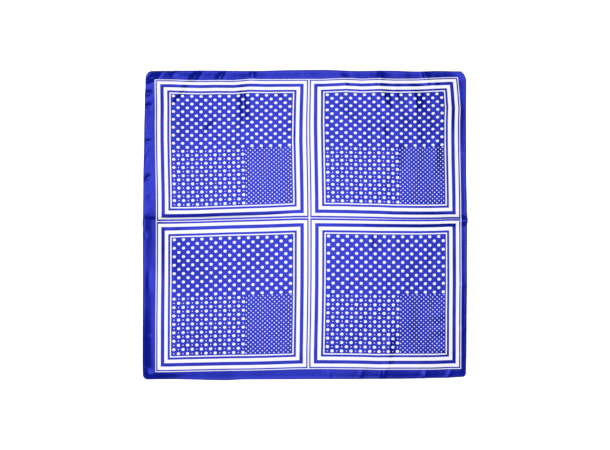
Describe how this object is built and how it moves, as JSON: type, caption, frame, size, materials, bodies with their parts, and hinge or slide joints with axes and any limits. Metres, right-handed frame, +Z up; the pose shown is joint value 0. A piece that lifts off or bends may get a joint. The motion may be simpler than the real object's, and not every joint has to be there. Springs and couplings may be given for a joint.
{
  "type": "square scarf",
  "caption": "Square satin scarf laid out flat, face up, with a narrow turned hem and the soft creases of its packed folding; printed with dotted panels inside striped frames.",
  "frame": {"origin": "on the surface the scarf lies on, below the middle of its outline's box", "axes": "+Z up, out of the printed face; +X along the wider side, to the right as the print is seen; +Y towards the top edge"},
  "size_m": [0.9, 0.8599, 0.0101],
  "materials": {
    "printed_satin": "royal blue satin printed in white, soft sheen"
  },
  "bodies": {
    "root": {"scarf_cloth": "printed_satin"}
  },
  "joints": []
}
